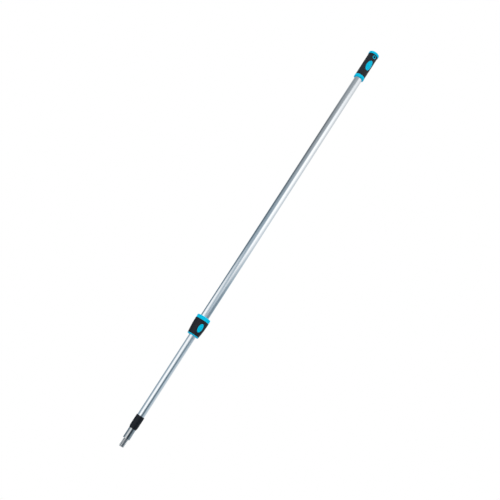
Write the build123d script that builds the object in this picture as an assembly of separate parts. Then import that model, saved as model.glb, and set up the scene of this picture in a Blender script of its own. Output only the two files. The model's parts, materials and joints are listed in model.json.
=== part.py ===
"""Telescopic roller pole: two aluminium tubes, a twist lock, a soft grip and a threaded tip.

Millimetres. The pole hangs along Z from its eyelet: the origin is the middle of the
hanging hole, +Z points up to the handle's cap, and the hole and both badges face -Y.
"""

import os
from math import radians, sin, tan

from build123d import *

# ---- tubes ----
OUTER_TUBE_DIAMETER = 32.0
OUTER_TUBE_WALL = 1.2
OUTER_TUBE_LENGTH = 1248.0
TUBE_GAP = 1.3  # between the outer tube's bore and the inner tube
INNER_TUBE_WALL = 1.2
INNER_TUBE_SHOWING = 376.0  # from the outer tube's lower end to the tip sleeve
EXTENSION_LEFT = 700.0  # how far the inner section still pulls out
GUIDED_LENGTH = 130.0  # from the stop bush up to the inner tube's top end

# ---- clearances ----
GLUE_GAP = 0.05  # between glued or pressed plastic and metal
RUNNING_GAP = 0.07  # between a bush and the tube that it slides or turns on
FREE_GAP = 0.3  # between pieces that move past each other

# ---- handle ----
EYELET_BORE_DIAMETER = 8.0
EYELET_WALL = 3.25
EYELET_INSET = 0.5  # below the grip's surface
TUBE_TOP_BELOW_EYELET = 6.75
HANDLE_WALL = 2.05
HANDLE_GRIP_WALL = 2.0
HANDLE_GRIP_ABOVE = 10.4  # from the eyelet's middle to the grip's upper edge
HANDLE_GRIP_BELOW = 94.9  # from the eyelet's middle to the grip's lower edge
HANDLE_RING_LENGTH = 11.6
HANDLE_RING_STEP = 0.9  # proud of the grip
HANDLE_SHELF = 3.0  # thickness of the ledge over the tube's upper end
SHELF_REACH = 1.5  # how far the ledge stands in past the tube's bore
HEAD_WALL = 2.85  # round the open head above the ledge
RIVET_ABOVE_RING = 14.0
CAP_HEIGHT = 10.6
CAP_STEP = 1.7  # proud of the grip
CAP_ROOF = 4.0
CAP_EDGE_RADIUS = 2.3
HANDLE_BADGE_WIDTH = 24.4  # measured round the grip
HANDLE_BADGE_HEIGHT = 46.0
HANDLE_BADGE_BELOW = 42.6
BADGE_PROUD = 0.3
BADGE_GAP = 0.12

# ---- collet body, fixed on the outer tube's lower end ----
COLLET_WALL = 2.5
COLLET_ABOVE = 33.0  # sleeve length on the tube
COLLET_FLANGE = 3.0
THREAD_LEAD = 4.0
THREAD_DEPTH = 1.5
THREAD_CREST = 1.3
THREAD_FLANK = 30.0  # degrees from square
THREAD_TURNS = 4.0
THREAD_ABOVE_TUBE_END = 22.0
THREAD_GAP = 0.25
THREAD_EMBED = 0.3
FINGER_LENGTH = 35.0
FINGER_ROOT = 4.0  # straight length before the fingers taper
FINGER_WALL_TOP = 4.6
FINGER_WALL_TIP = 2.3
FINGER_COUNT = 6
FINGER_SLOT = 1.8
CONE_LENGTH = 15.0
CONE_GAP = 0.2

# ---- twist collar ----
COLLAR_ABOVE_TUBE_END = 35.0
COLLAR_RING_LENGTH = 14.0
COLLAR_GRIP_LENGTH = 60.4
COLLAR_LIP_LENGTH = 3.6
COLLAR_FLOOR = 2.9
COLLAR_WALL = 4.0  # outside the thread grooves, at the grip's upper edge
COLLAR_GRIP_WALL = 2.4
COLLAR_RING_ROUND = 2.0  # fillet on the upper ring's edge
COLLAR_RING_STEP = 0.25  # the ring is this much smaller than the grip's upper edge
COLLAR_BELLY_DROP = 1.05  # grip radius lost half way down
COLLAR_TAPER_DROP = 4.4  # grip radius lost at the lower edge
COLLAR_BADGE_WIDTH = 18.3
COLLAR_BADGE_HEIGHT = 34.0
COLLAR_BADGE_BELOW = 29.4  # from the grip's upper edge to the badge's middle
WIPER_HEIGHT = 2.2
WIPER_WALL = 2.0

# ---- inner tube fittings ----
GUIDE_BUSH_LENGTH = 24.0
CLIP_THICKNESS = 1.4
CLIP_GROOVE = 0.45
CLIP_RISE = 0.8  # proud of the inner tube, as the end plug's flange is
CLIP_OPENING = 5.6
END_PLUG_DEPTH = 20.0
END_PLUG_FLANGE = 2.5
END_PLUG_WALL = 1.6
STOP_BUSH_LENGTH = 22.0
STOP_BUSH_GAP = 0.25
STOP_LIMIT_GAP = 1.0  # left between stop bush and tube end at full reach
RIVET_DIAMETER = 3.2

# ---- tip ----
TIP_SLEEVE_LENGTH = 51.0
TIP_SLEEVE_WALL = 2.0
TIP_SLEEVE_TAPER = 9.0
TIP_SLEEVE_END_WALL = 0.6
SHANK_LENGTH = 40.0
SHANK_WALL = 3.2
FERRULE_STEP = 0.6  # the ferrule's radius is this much under the tube's
FERRULE_SHOWING = 40.0
FERRULE_CHAMFER = 1.2
TIP_PIN_DIAMETER = 5.0

# ---- 3/4-5 ACME thread for roller frames ----
ACME_MAJOR = 19.05
ACME_PITCH = 5.08
ACME_FLANK = 14.5
ACME_LENGTH = 31.0
ACME_RELIEF = 2.6
ACME_EMBED = 0.4
ACME_NOSE = 1.6  # chamfer at the nose

# ---- radii that follow ----
OUTER_R = OUTER_TUBE_DIAMETER / 2
OUTER_BORE_R = OUTER_R - OUTER_TUBE_WALL
INNER_R = OUTER_BORE_R - TUBE_GAP
INNER_BORE_R = INNER_R - INNER_TUBE_WALL
CORE_BORE_R = OUTER_R + GLUE_GAP
CORE_R = CORE_BORE_R + HANDLE_WALL
GRIP_R = CORE_R + HANDLE_GRIP_WALL
CAP_R = GRIP_R + CAP_STEP
EYELET_BORE_R = EYELET_BORE_DIAMETER / 2
EYELET_R = EYELET_BORE_R + EYELET_WALL
COLLET_R = CORE_BORE_R + COLLET_WALL
THREAD_R = COLLET_R + THREAD_DEPTH
NUT_BORE_R = COLLET_R + THREAD_GAP
GROOVE_R = THREAD_R + THREAD_GAP
COLLAR_CORE_R = GROOVE_R + COLLAR_WALL
COLLAR_GRIP_R = COLLAR_CORE_R + COLLAR_GRIP_WALL
FINGER_BORE_R = INNER_R + RUNNING_GAP
FERRULE_R = INNER_R - FERRULE_STEP
SHANK_R = INNER_BORE_R - GLUE_GAP
TIP_SLEEVE_R = INNER_R + GLUE_GAP + TIP_SLEEVE_WALL

# ---- heights that follow ----
TUBE_TOP = -(EYELET_R + TUBE_TOP_BELOW_EYELET)
TUBE_END = TUBE_TOP - OUTER_TUBE_LENGTH
HANDLE_BOTTOM = -(HANDLE_GRIP_BELOW + HANDLE_RING_LENGTH)
CAP_TOP = HANDLE_GRIP_ABOVE + CAP_HEIGHT
COLLAR_TOP = TUBE_END + COLLAR_ABOVE_TUBE_END
COLLAR_GRIP_TOP = COLLAR_TOP - COLLAR_RING_LENGTH
COLLAR_GRIP_BOTTOM = COLLAR_GRIP_TOP - COLLAR_GRIP_LENGTH
COLLAR_BOTTOM = COLLAR_GRIP_BOTTOM - COLLAR_LIP_LENGTH
COLLAR_BADGE_Z = COLLAR_GRIP_TOP - COLLAR_BADGE_BELOW
COLLET_TOP = TUBE_END + COLLET_ABOVE
THREAD_START = TUBE_END + THREAD_ABOVE_TUBE_END - THREAD_LEAD * THREAD_TURNS
FINGER_TIP = TUBE_END - FINGER_LENGTH
TIP_SLEEVE_TOP = TUBE_END - INNER_TUBE_SHOWING
TIP_SLEEVE_BOTTOM = TIP_SLEEVE_TOP - TIP_SLEEVE_LENGTH
INNER_END = TIP_SLEEVE_BOTTOM + TIP_SLEEVE_TAPER
FERRULE_BOTTOM = TIP_SLEEVE_BOTTOM - FERRULE_SHOWING
STOP_BOTTOM = TUBE_END + STOP_LIMIT_GAP + EXTENSION_LEFT
STOP_TOP = STOP_BOTTOM + STOP_BUSH_LENGTH
INNER_TOP = STOP_TOP + GUIDED_LENGTH
CLIP_LOW = INNER_TOP - GUIDE_BUSH_LENGTH - 2 * FREE_GAP - CLIP_THICKNESS
HANDLE_RIVET_Z = RIVET_ABOVE_RING - HANDLE_GRIP_BELOW
COLLET_RIVET_Z = COLLET_TOP - COLLET_FLANGE - RIVET_DIAMETER
STOP_RIVET_Z = STOP_BOTTOM + STOP_BUSH_LENGTH / 2
TIP_PIN_Z = INNER_END + SHANK_LENGTH / 2

UP = (Align.CENTER, Align.CENTER, Align.MIN)


def rod(radius, low, high):
    """A cylinder on the pole's axis between two heights."""
    return Pos(0, 0, low) * Cylinder(radius, high - low, align=UP)


def tube(outer, inner, low, high):
    """A round tube on the pole's axis, its bore cut right through."""
    return rod(outer, low, high) - rod(inner, low - 1, high + 1)


def cone(radius_low, radius_high, low, high):
    """A truncated cone on the pole's axis."""
    return Pos(0, 0, low) * Cone(radius_low, radius_high, high - low, align=UP)


def cross_rod(radius, length, height):
    """A cylinder along X through the pole's axis."""
    return Pos(0, 0, height) * Rot(0, 90, 0) * Cylinder(radius, length)


def front_rod(radius, length, height=0.0):
    """A cylinder along Y through the pole's axis."""
    return Pos(0, 0, height) * Rot(90, 0, 0) * Cylinder(radius, length)


def edges_at(shape, radius, height):
    """The round edges of a shape with this radius at this height."""
    return [
        e
        for e in shape.edges().filter_by(GeomType.CIRCLE)
        if abs(e.radius - radius) < 0.01 and abs(e.center().Z - height) < 0.01
    ]


def helical_tooth(pitch, turns, profile):
    """A tooth wound round Z, from its section as (radius, height) points at the start."""
    rails = [Helix(pitch, pitch * turns, r, center=(0, 0, z)).edge() for r, z in profile]
    sides = [Face.make_surface_from_curves(a, b) for a, b in zip(rails, rails[1:] + rails[:1])]
    ends = [Face(Wire.make_polygon([rail @ u for rail in rails], close=True)) for u in (0, 1)]
    return Solid(Shell(sides + ends))


def tooth_section(root_radius, crest_radius, crest_width, flank_angle):
    """A trapezoid thread tooth's section, its middle at height 0."""
    spread = (crest_radius - root_radius) * tan(radians(flank_angle))
    root = crest_width / 2 + spread
    crest = crest_width / 2
    return [(root_radius, -root), (crest_radius, -crest), (crest_radius, crest), (root_radius, root)]


def oval_prism(width, height, middle, reach):
    """An upright oval, pushed from the axis out through the front."""
    return extrude(Plane.XZ * Pos(0, middle) * Ellipse(width / 2, height / 2), reach)


def chord(arc, radius):
    """The straight width of an arc length on a circle."""
    return 2 * radius * sin(arc / (2 * radius))


def cross_rivets(outer, inner, height):
    """Two flush rivets along X, one each side of the pole's axis."""
    bar = cross_rod(RIVET_DIAMETER / 2, 2 * outer + 4, height)
    ring = tube(outer, inner, height - RIVET_DIAMETER, height + RIVET_DIAMETER)
    return bar & ring


def rivet_holes(height):
    """The drill that goes through both walls for a pair of rivets."""
    return cross_rod(RIVET_DIAMETER / 2, 4 * OUTER_TUBE_DIAMETER, height)


def outer_tube():
    """The larger tube, drilled for the rivets at both ends."""
    body = tube(OUTER_R, OUTER_BORE_R, TUBE_END, TUBE_TOP)
    return body - rivet_holes(HANDLE_RIVET_Z) - rivet_holes(COLLET_RIVET_Z)


def handle_core():
    """Sleeve on the tube, with a shelf over the tube's end, an open head and the lower ring."""
    ring_r = GRIP_R + HANDLE_RING_STEP
    body = rod(CORE_R, HANDLE_BOTTOM, CAP_TOP - CAP_ROOF)
    ring = rod(ring_r, HANDLE_BOTTOM, -HANDLE_GRIP_BELOW)
    ring = fillet(edges_at(ring, ring_r, HANDLE_BOTTOM), 0.8 * (ring_r - CORE_R))
    ring = fillet(edges_at(ring, ring_r, -HANDLE_GRIP_BELOW), HANDLE_RING_STEP * 0.9)
    body = body + ring
    body = body - rod(CORE_BORE_R, HANDLE_BOTTOM - 1, TUBE_TOP)
    body = body - rod(OUTER_BORE_R - SHELF_REACH, TUBE_TOP - 1, CAP_TOP)
    body = body - rod(CORE_R - HEAD_WALL, TUBE_TOP + HANDLE_SHELF, CAP_TOP)
    body = body - front_rod(EYELET_R + GLUE_GAP, 4 * GRIP_R)
    return body - rivet_holes(HANDLE_RIVET_Z)


def handle_grip():
    """The rubber sleeve between ring and cap, with its eyelet holes and badge window."""
    low = GLUE_GAP - HANDLE_GRIP_BELOW
    body = tube(GRIP_R, CORE_R + GLUE_GAP, low, HANDLE_GRIP_ABOVE - GLUE_GAP)
    body = body - front_rod(EYELET_R + 2 * GLUE_GAP, 4 * GRIP_R)
    width = chord(HANDLE_BADGE_WIDTH, GRIP_R)
    window = oval_prism(width, HANDLE_BADGE_HEIGHT, -HANDLE_BADGE_BELOW, 2 * GRIP_R)
    return body - window


def handle_badge():
    """The oval inlay in the handle's grip, a little proud of it."""
    width = chord(HANDLE_BADGE_WIDTH, GRIP_R) - 2 * BADGE_GAP
    height = HANDLE_BADGE_HEIGHT - 2 * BADGE_GAP
    blank = oval_prism(width, height, -HANDLE_BADGE_BELOW, 2 * GRIP_R)
    shell = tube(GRIP_R + BADGE_PROUD, CORE_R + GLUE_GAP, -HANDLE_GRIP_BELOW, 0)
    return blank & shell


def handle_cap():
    """A cup over the core's open head."""
    body = rod(CAP_R, HANDLE_GRIP_ABOVE, CAP_TOP)
    body = fillet(edges_at(body, CAP_R, CAP_TOP), CAP_EDGE_RADIUS)
    body = fillet(edges_at(body, CAP_R, HANDLE_GRIP_ABOVE), CAP_STEP * 0.8)
    return body - rod(CORE_R + GLUE_GAP, HANDLE_GRIP_ABOVE - 1, CAP_TOP - CAP_ROOF + GLUE_GAP)


def hanging_eyelet():
    """A bush through the handle, its ends cut to the grip's roundness."""
    body = front_rod(EYELET_R, 4 * GRIP_R) - front_rod(EYELET_BORE_R, 5 * GRIP_R)
    return body & rod(GRIP_R - EYELET_INSET, -2 * EYELET_R, 2 * EYELET_R)


def handle_rivets():
    """The pair under the grip that holds the core on the tube."""
    return cross_rivets(CORE_R, OUTER_BORE_R + GLUE_GAP, HANDLE_RIVET_Z)


def finger_outside(gap):
    """The taper of the collet fingers' outside, grown by a gap."""
    root = INNER_R + FINGER_WALL_TOP + gap
    tip = INNER_R + FINGER_WALL_TIP + gap
    return cone(tip, root, FINGER_TIP, TUBE_END - FINGER_ROOT)


def finger_radius(height):
    """The fingers' outside radius at a height on their taper."""
    share = (height - FINGER_TIP) / (TUBE_END - FINGER_ROOT - FINGER_TIP)
    return INNER_R + FINGER_WALL_TIP + share * (FINGER_WALL_TOP - FINGER_WALL_TIP)


def collet_body():
    """Sleeve on the tube's end, with a flange, a thread, a seat for the tube and split fingers."""
    body = rod(COLLET_R, TUBE_END - FINGER_ROOT, COLLET_TOP)
    body = body + rod(GROOVE_R, COLLET_TOP - COLLET_FLANGE, COLLET_TOP)
    section = tooth_section(COLLET_R - THREAD_EMBED, THREAD_R, THREAD_CREST, THREAD_FLANK)
    tooth = Pos(0, 0, THREAD_START) * helical_tooth(THREAD_LEAD, THREAD_TURNS, section)
    body = body + tooth
    body = body + finger_outside(0)
    body = body - rod(CORE_BORE_R, TUBE_END, COLLET_TOP + 1)
    body = body - rod(FINGER_BORE_R, FINGER_TIP - 1, TUBE_END + 1)
    slot = Box(FINGER_SLOT, COLLET_R * 2, FINGER_LENGTH, align=(Align.CENTER, Align.MIN, Align.MIN))
    slot = Pos(0, 0, FINGER_TIP - FINGER_ROOT) * slot
    for i in range(FINGER_COUNT):
        body = body - Rot(0, 0, i * 360 / FINGER_COUNT) * slot
    return body - rivet_holes(COLLET_RIVET_Z)


def collet_rivets():
    """The pair under the collar that holds the collet body on the tube."""
    return cross_rivets(COLLET_R, OUTER_BORE_R + GLUE_GAP, COLLET_RIVET_Z)


def cone_ring():
    """The ring that squeezes the fingers, resting on the collar's floor."""
    low = COLLAR_GRIP_BOTTOM + COLLAR_FLOOR + GLUE_GAP
    return rod(NUT_BORE_R - FREE_GAP / 2, low, low + CONE_LENGTH) - cone_socket(low)


def cone_socket(low):
    """The cone ring's hole: the fingers' taper grown by its gap, run past both ends."""
    high = low + CONE_LENGTH
    slope = (finger_radius(high) - finger_radius(low)) / CONE_LENGTH
    below = finger_radius(low) + CONE_GAP - slope
    above = finger_radius(high) + CONE_GAP + slope
    return cone(below, above, low - 1, high + 1)


def collar_side(radius):
    """The collar's side as a line and an arc, at a radius measured at the grip's upper edge."""
    belly = (radius - COLLAR_BELLY_DROP, COLLAR_GRIP_TOP - COLLAR_GRIP_LENGTH / 2)
    foot = (radius - COLLAR_TAPER_DROP, COLLAR_GRIP_BOTTOM)
    return (radius, COLLAR_GRIP_TOP), belly, foot


def collar_barrel(radius):
    """The solid inside the collar's curved side, over the grip's length."""
    top, belly, foot = collar_side(radius)
    points = [(0, top[1]), top, belly, foot, (0, foot[1])]
    corners = [Vector(x, 0, z) for x, z in points]
    outline = [
        Line(corners[0], corners[1]),
        ThreePointArc(corners[1], corners[2], corners[3]),
        Line(corners[3], corners[4]),
        Line(corners[4], corners[0]),
    ]
    return revolve(Face(Wire(outline)), Axis.Z)


def lock_core():
    """The collar's blue body: upper ring, threaded barrel and lower lip."""
    ring_r = COLLAR_GRIP_R - COLLAR_RING_STEP
    lip_r = COLLAR_GRIP_R - COLLAR_TAPER_DROP
    lip_fillet = min(COLLAR_LIP_LENGTH, COLLAR_GRIP_WALL) * 0.8
    ring = rod(ring_r, COLLAR_GRIP_TOP, COLLAR_TOP)
    ring = fillet(edges_at(ring, ring_r, COLLAR_TOP), COLLAR_RING_ROUND)
    lip = rod(lip_r, COLLAR_BOTTOM, COLLAR_GRIP_BOTTOM)
    lip = fillet(edges_at(lip, lip_r, COLLAR_BOTTOM), lip_fillet)
    body = collar_barrel(COLLAR_CORE_R) + ring + lip
    body = body - rod(NUT_BORE_R, COLLAR_GRIP_BOTTOM + COLLAR_FLOOR, COLLAR_TOP)
    body = body - thread_groove()
    body = body - rod(GROOVE_R + THREAD_GAP, COLLAR_GRIP_TOP, COLLAR_TOP + 1)
    body = body - rod(INNER_R + WIPER_WALL, COLLAR_BOTTOM + COLLAR_FLOOR, COLLAR_GRIP_TOP)
    return body - rod(INNER_R + WIPER_WALL / 2, COLLAR_BOTTOM - 1, COLLAR_GRIP_TOP)


def thread_groove():
    """The nut's groove: the collet's tooth grown all round and a turn longer each way."""
    width = THREAD_CREST + 2 * THREAD_GAP
    section = tooth_section(NUT_BORE_R - THREAD_EMBED, GROOVE_R, width, THREAD_FLANK)
    turns = THREAD_TURNS + 2
    return Pos(0, 0, THREAD_START - THREAD_LEAD) * helical_tooth(THREAD_LEAD, turns, section)


def collar_window(gap):
    """The upright oval prism for the collar's badge, made smaller by a gap."""
    width = chord(COLLAR_BADGE_WIDTH, COLLAR_GRIP_R) - 2 * gap
    return oval_prism(width, COLLAR_BADGE_HEIGHT - 2 * gap, COLLAR_BADGE_Z, 2 * COLLAR_GRIP_R)


def lock_grip():
    """The rubber over the collar's barrel, with its badge window."""
    grip = collar_barrel(COLLAR_GRIP_R) - collar_barrel(COLLAR_CORE_R + GLUE_GAP)
    return grip - collar_window(0)


def lock_badge():
    """The oval inlay in the collar's grip, a little proud of it."""
    shell = collar_barrel(COLLAR_GRIP_R + BADGE_PROUD) - collar_barrel(COLLAR_CORE_R + GLUE_GAP)
    return shell & collar_window(BADGE_GAP)


def wiper_ring():
    """The soft ring in the collar's mouth."""
    low = COLLAR_BOTTOM + COLLAR_FLOOR
    return tube(INNER_R + WIPER_WALL - GLUE_GAP, INNER_R + RUNNING_GAP, low, low + WIPER_HEIGHT)


def inner_tube():
    """The smaller tube, grooved for the clip and drilled for the rivets and the tip pin."""
    body = tube(INNER_R, INNER_BORE_R, INNER_END, INNER_TOP)
    body = body - tube(INNER_R + 1, INNER_R - CLIP_GROOVE, CLIP_LOW, CLIP_LOW + CLIP_THICKNESS)
    body = body - rivet_holes(STOP_RIVET_Z)
    return body - cross_rod(TIP_PIN_DIAMETER / 2, 4 * INNER_R, TIP_PIN_Z)


def guide_bush():
    """A wear ring that runs in the outer tube and turns on the inner one."""
    high = INNER_TOP - FREE_GAP
    return tube(OUTER_BORE_R - RUNNING_GAP, INNER_R + RUNNING_GAP, high - GUIDE_BUSH_LENGTH, high)


def guide_clip():
    """A snap ring in the inner tube's groove, open at the back."""
    low = CLIP_LOW + GLUE_GAP
    high = CLIP_LOW + CLIP_THICKNESS - GLUE_GAP
    ring = tube(INNER_R + CLIP_RISE, INNER_R - CLIP_GROOVE + GLUE_GAP, low, high)
    opening = Box(CLIP_OPENING, 2 * INNER_R, 2 * CLIP_THICKNESS)
    return ring - Pos(0, INNER_R, CLIP_LOW + CLIP_THICKNESS / 2) * opening


def inner_end_plug():
    """A cup in the inner tube's upper end, its flange over the tube's rim."""
    flange = rod(INNER_R + CLIP_RISE, INNER_TOP, INNER_TOP + END_PLUG_FLANGE)
    stem = rod(INNER_BORE_R - GLUE_GAP, INNER_TOP - END_PLUG_DEPTH, INNER_TOP)
    return flange + stem - rod(INNER_BORE_R - END_PLUG_WALL, INNER_TOP - END_PLUG_DEPTH - 1, INNER_TOP)


def stop_bush():
    """The ring that meets the collet body's seat at full reach."""
    body = tube(OUTER_BORE_R - STOP_BUSH_GAP, INNER_R + GLUE_GAP, STOP_BOTTOM, STOP_TOP)
    return body - rivet_holes(STOP_RIVET_Z)


def stop_rivets():
    """The pair that holds the stop bush on the inner tube."""
    return cross_rivets(OUTER_BORE_R - STOP_BUSH_GAP, INNER_BORE_R, STOP_RIVET_Z)


def tip_sleeve():
    """Plain over the inner tube's end, closing down on the ferrule."""
    end_r = FERRULE_R + TIP_SLEEVE_END_WALL
    body = rod(TIP_SLEEVE_R, INNER_END, TIP_SLEEVE_TOP)
    body = chamfer(edges_at(body, TIP_SLEEVE_R, TIP_SLEEVE_TOP), TIP_SLEEVE_WALL * 0.4)
    body = body + cone(end_r, TIP_SLEEVE_R, TIP_SLEEVE_BOTTOM, INNER_END)
    body = body - rod(INNER_R + GLUE_GAP, INNER_END, TIP_SLEEVE_TOP + 1)
    return body - rod(FERRULE_R + GLUE_GAP, TIP_SLEEVE_BOTTOM - 1, INNER_END + 1)


def threaded_tip():
    """Shank in the inner tube, plain ferrule and roller thread, in one piece."""
    minor_r = ACME_MAJOR / 2 - ACME_PITCH / 2
    thread_end = FERRULE_BOTTOM - ACME_LENGTH
    body = rod(SHANK_R, INNER_END, INNER_END + SHANK_LENGTH)
    ferrule = rod(FERRULE_R, FERRULE_BOTTOM, INNER_END)
    ferrule = chamfer(edges_at(ferrule, FERRULE_R, FERRULE_BOTTOM), FERRULE_CHAMFER)
    body = body + ferrule + rod(minor_r, thread_end, FERRULE_BOTTOM)
    body = body + acme_tooth(minor_r, thread_end)
    body = body - rod(SHANK_R - SHANK_WALL, FERRULE_BOTTOM + SHANK_WALL, INNER_END + SHANK_LENGTH + 1)
    return body - cross_rod(TIP_PIN_DIAMETER / 2, 4 * INNER_R, TIP_PIN_Z)


def acme_tooth(minor_r, thread_end):
    """The roller thread's tooth, cut off square at the relief and chamfered at the nose."""
    crest = 0.3707 * ACME_PITCH
    section = tooth_section(minor_r - ACME_EMBED, ACME_MAJOR / 2, crest, ACME_FLANK)
    turns = ACME_LENGTH / ACME_PITCH + 1
    tooth = Pos(0, 0, thread_end - ACME_PITCH) * helical_tooth(ACME_PITCH, turns, section)
    envelope = rod(ACME_MAJOR / 2 + 1, thread_end + ACME_NOSE, FERRULE_BOTTOM - ACME_RELIEF)
    nose = cone(minor_r, ACME_MAJOR / 2 + 1, thread_end, thread_end + ACME_NOSE)
    return tooth & (envelope + nose)


def tip_pin():
    """A pin across the inner tube and the shank, its ends flush with the tube."""
    bar = cross_rod(TIP_PIN_DIAMETER / 2 - GLUE_GAP, 2 * INNER_R, TIP_PIN_Z)
    return bar & rod(INNER_R, TIP_PIN_Z - TIP_PIN_DIAMETER, TIP_PIN_Z + TIP_PIN_DIAMETER)


NODES = [
    outer_tube,
    handle_core,
    handle_grip,
    handle_badge,
    handle_cap,
    hanging_eyelet,
    handle_rivets,
    collet_body,
    collet_rivets,
    cone_ring,
    lock_core,
    lock_grip,
    lock_badge,
    wiper_ring,
    guide_bush,
    guide_clip,
    inner_end_plug,
    inner_tube,
    stop_bush,
    stop_rivets,
    tip_sleeve,
    threaded_tip,
    tip_pin,
]

os.makedirs("parts", exist_ok=True)
for make in NODES:
    export_step(make(), f"parts/{make.__name__}.step")
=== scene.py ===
"""Looks of the telescopic roller pole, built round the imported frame.

Metres, in the frame's own axes: the pole hangs along Z from the middle of its hanging hole,
its cap is up and its badges face -Y. Every piece takes its place and size from the frame.
"""

import json
from math import atan2, ceil, copysign, cos, hypot, pi, radians, sin, sqrt, tan

import bpy
from mathutils import Matrix, Vector


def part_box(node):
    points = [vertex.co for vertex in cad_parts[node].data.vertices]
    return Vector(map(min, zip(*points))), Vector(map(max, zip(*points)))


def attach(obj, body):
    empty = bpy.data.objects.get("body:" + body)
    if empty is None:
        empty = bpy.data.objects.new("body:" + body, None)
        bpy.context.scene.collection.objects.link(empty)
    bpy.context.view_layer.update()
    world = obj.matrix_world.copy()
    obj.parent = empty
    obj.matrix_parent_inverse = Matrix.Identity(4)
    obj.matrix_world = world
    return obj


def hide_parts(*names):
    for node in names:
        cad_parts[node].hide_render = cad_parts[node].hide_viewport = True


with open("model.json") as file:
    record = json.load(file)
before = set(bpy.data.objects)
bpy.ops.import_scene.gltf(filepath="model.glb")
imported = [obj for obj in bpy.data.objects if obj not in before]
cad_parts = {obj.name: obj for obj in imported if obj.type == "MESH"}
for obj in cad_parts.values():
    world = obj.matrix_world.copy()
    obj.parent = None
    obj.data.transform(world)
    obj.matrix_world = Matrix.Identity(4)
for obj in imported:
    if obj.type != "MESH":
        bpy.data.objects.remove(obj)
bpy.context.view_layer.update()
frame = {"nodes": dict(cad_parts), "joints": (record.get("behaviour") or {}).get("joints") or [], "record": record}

MM = 0.001

# ---------------------------------------------------------------- the frame's own measures

MOUNTS = {mount["name"]: mount for mount in frame["record"]["mounts"]}
JOINTS = {joint["name"]: joint for joint in frame["joints"]}


def reach(node):
    """A round node's largest radius about the pole, with its lowest and highest heights."""
    low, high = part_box(node)
    return high.x, low.z, high.z


def middle_of(node):
    low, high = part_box(node)
    return (low.z + high.z) / 2


def oval_of(badge):
    """A badge's half width, half height, the height of its middle, and its distance in front."""
    low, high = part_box(badge)
    return high.x, (high.z - low.z) / 2, (low.z + high.z) / 2, -low.y


def cross_radius(node):
    """The radius of a pin or rivet that lies across the pole."""
    low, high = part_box(node)
    return (high.z - low.z) / 2


TUBE_R, TUBE_LOW, TUBE_TOP = reach("outer_tube")
INNER_R, INNER_LOW, INNER_TOP = reach("inner_tube")
HANDLE_R, HANDLE_LOW, HEAD_TOP = reach("handle_core")
GRIP_R, GRIP_LOW, GRIP_TOP = reach("handle_grip")
CAP_R, CAP_LOW, CAP_TOP = reach("handle_cap")
EYELET_R = reach("hanging_eyelet")[0]
EYELET_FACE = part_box("hanging_eyelet")[1].y
EYELET_BORE = MOUNTS["hanging_hole"]["dims"]["r_mm"] * MM
COLLAR_LOW, COLLAR_TOP = reach("lock_core")[1:]
BARREL_R, BARREL_LOW, BARREL_TOP = reach("lock_grip")
FLANGE_R = reach("collet_body")[0]
WIPER_R, WIPER_LOW, WIPER_TOP = reach("wiper_ring")
CONE_R, CONE_LOW = reach("cone_ring")[:2]
SLEEVE_R, SLEEVE_LOW, SLEEVE_TOP = reach("tip_sleeve")
FERRULE_OUT_R, NOSE, SHANK_TOP = reach("threaded_tip")
THREAD_R = MOUNTS["roller_thread"]["dims"]["r_mm"] * MM
SHOULDER = MOUNTS["tip_shoulder"]["pos_m"][2]

TUBE_WALL = 1.2 * MM
HANDLE_WALL = 2.05 * MM
GRIP_WALL = 2.0 * MM
BARREL_WALL = 2.4 * MM
GLUE_GAP = 0.05 * MM
RUNNING_GAP = 0.07 * MM
BADGE_GAP = 0.12 * MM
CORE_R = TUBE_R + GLUE_GAP + HANDLE_WALL
RIVET_R = cross_radius("collet_rivets")
PIN_HOLE_R = cross_radius("tip_pin") + GLUE_GAP

# the roller's screw
PITCH = 5.08 * MM
THREAD_ROOT_R = THREAD_R - PITCH / 2
THREAD_CREST = 0.3707 * PITCH
THREAD_FLANK = 14.5
THREAD_MARGIN = 1 * MM  # by which a cutter stands clear of the crests
RELIEF = 1.2 * MM  # height of the bare neck under the shoulder
NOSE_CHAMFER = 1.6 * MM
SHANK_WALL = 3.2 * MM

# the twist lock's screw
NUT_LEAD = 4.0 * MM
NUT_GAP = 0.25 * MM
NUT_CREST = 1.8 * MM  # width of the groove's bottom
NUT_FLANK = 30.0
NUT_TURNS = 6
NUT_BORE_GAP = 0.15 * MM  # round the cone ring

CLIP_GROOVE_DEPTH = 0.45 * MM
RIVET_MARGIN = 4 * MM  # a drilled wall has a row this far above and below each hole
PIN_MARGIN = 5 * MM

# ---------------------------------------------------------------- modelling helpers

FILLET_STEPS = 6
POLE = 0.0004 * MM  # radius of a ring that is merged to a point
MERGE = 0.002 * MM
THREAD_MERGE = 0.02 * MM
SMOOTH_ANGLE = radians(32)
SCREW_STEPS = 72


def nothing_selected():
    bpy.ops.object.select_all(action="DESELECT")


def only(piece):
    """Makes a piece the only thing selected, and active."""
    nothing_selected()
    piece.select_set(True)
    bpy.context.view_layer.objects.active = piece
    return piece


def named(piece, name):
    piece.name = name
    piece.data.name = name
    return piece


def settled(piece):
    """Puts a piece's place into its mesh, so that its object sits at the origin."""
    only(piece)
    bpy.ops.object.transform_apply(location=True, rotation=True, scale=True)
    return piece


def smooth(piece):
    only(piece)
    bpy.ops.object.shade_smooth_by_angle(angle=SMOOTH_ANGLE)
    return piece


def apply(piece, kind, **settings):
    """Adds a modifier with its settings, and applies it."""
    only(piece)
    modifier = piece.modifiers.new(kind.title(), kind)
    for key, value in settings.items():
        setattr(modifier, key, value)
    bpy.ops.object.modifier_apply(modifier=modifier.name)
    return piece


def combine(piece, other, operation):
    """Cuts, joins or keeps what is common to two solids, and takes the second away."""
    apply(piece, "BOOLEAN", object=other, operation=operation, solver="EXACT")
    bpy.data.objects.remove(other)
    return piece


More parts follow.
